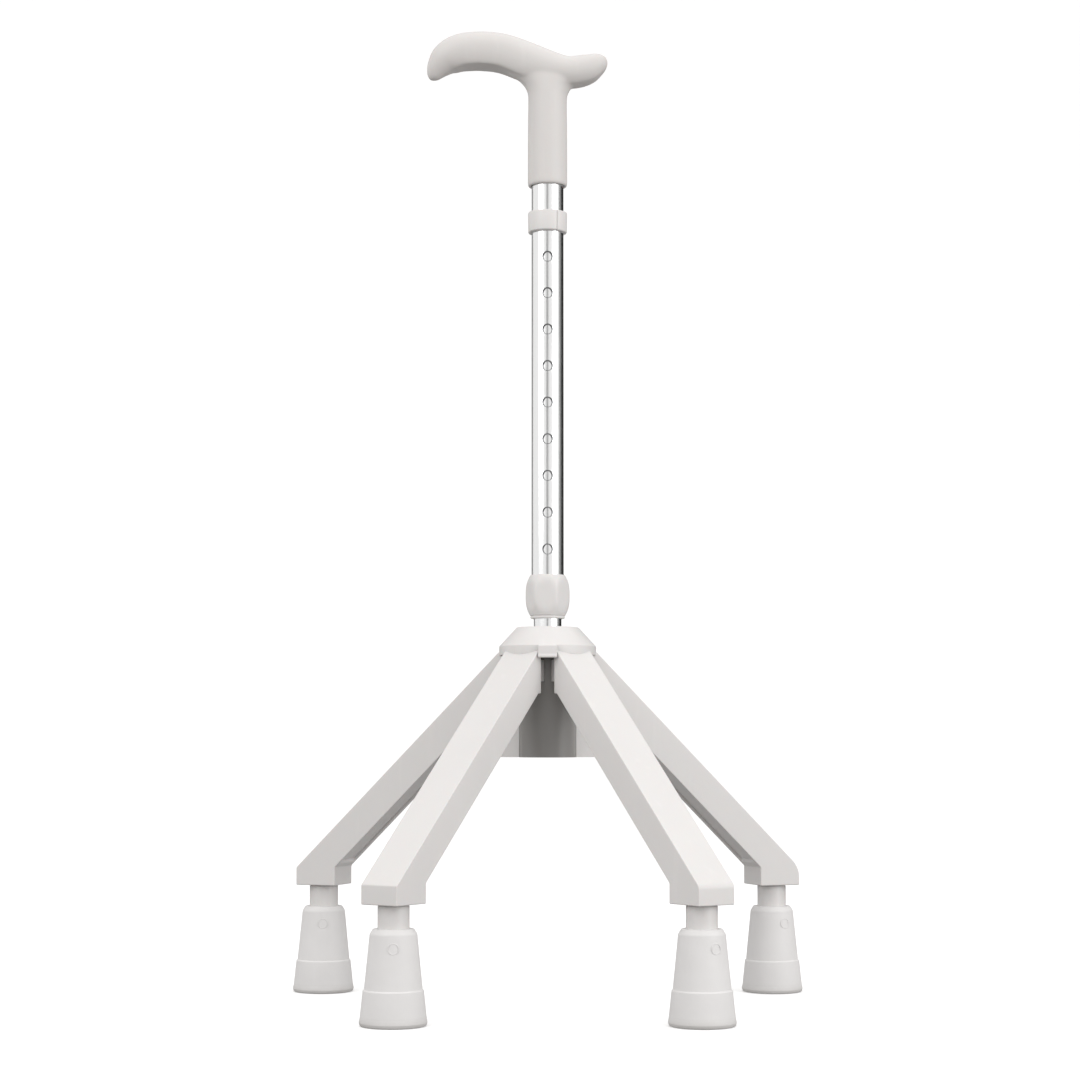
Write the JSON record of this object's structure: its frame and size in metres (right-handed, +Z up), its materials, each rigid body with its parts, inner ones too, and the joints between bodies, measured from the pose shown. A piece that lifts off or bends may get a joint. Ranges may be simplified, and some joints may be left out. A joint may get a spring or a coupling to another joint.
{
  "type": "quad walking cane",
  "caption": "Height-adjustable walking cane with a derby handle, a telescoping aluminium shaft and a splayed four-legged base on rubber feet.",
  "frame": {"origin": "on the floor, at the middle of the box round the four feet; the shaft stands 40.6 mm behind it", "axes": "+Z up along the shaft; +X towards the handle's short end, with its long nose towards -X; -Y is the front, where the height holes are and the two front legs reach"},
  "size_m": [0.3604, 0.2396, 0.672],
  "materials": {
    "grip_plastic": "satin moulded, warm light grey",
    "base_plastic": "satin moulded, warm light grey",
    "post_plastic": "satin",
    "tube_aluminium": "bright polished and anodised",
    "foot_rubber": "matt light grey",
    "nylon": "natural nylon",
    "steel": "zinc plated",
    "brass": "turned"
  },
  "bodies": {
    "base": {"inner_tube": "tube_aluminium", "glide_bush": "nylon", "snap_spring": "steel", "hub_cap": "base_plastic", "hub_core": "base_plastic", "hub_screw": "steel", "leg_front_left": "base_plastic", "leg_front_right": "base_plastic", "leg_rear_left": "base_plastic", "leg_rear_right": "base_plastic", "cover_front_left": "base_plastic", "cover_front_right": "base_plastic", "cover_rear_left": "base_plastic", "cover_rear_right": "base_plastic", "leg_screws": "steel", "post_front_left": "post_plastic", "post_front_right": "post_plastic", "post_rear_left": "post_plastic", "post_rear_right": "post_plastic", "post_screws": "steel", "foot_front_left": "foot_rubber", "foot_front_right": "foot_rubber", "foot_rear_left": "foot_rubber", "foot_rear_right": "foot_rubber", "foot_washers": "steel"},
    "upper": {"handle_grip": "grip_plastic", "handle_screw": "steel", "outer_tube": "tube_aluminium", "guard_ring": "base_plastic", "collet_ring": "nylon"},
    "nut": {"lock_nut": "base_plastic"},
    "button": {"snap_button": "brass"}
  },
  "joints": [
    {"name": "height_slide", "type": "slide", "parent": "base", "child": "upper", "axis": [0, 0, 1], "range_m": [0, 0.2286], "deforming": ["snap_button"]},
    {"name": "nut_turn", "type": "hinge", "parent": "upper", "child": "nut", "pos_m": [0, 0.04057, 0.2757], "axis": [0, 0, -1], "range_deg": [0, 270]},
    {"name": "button_press", "type": "slide", "parent": "base", "child": "button", "axis": [0, 1, 0], "range_m": [0, 0.003], "stiffness_N_per_m": 900, "springref_m": -0.004, "deforming": ["snap_spring"]}
  ]
}
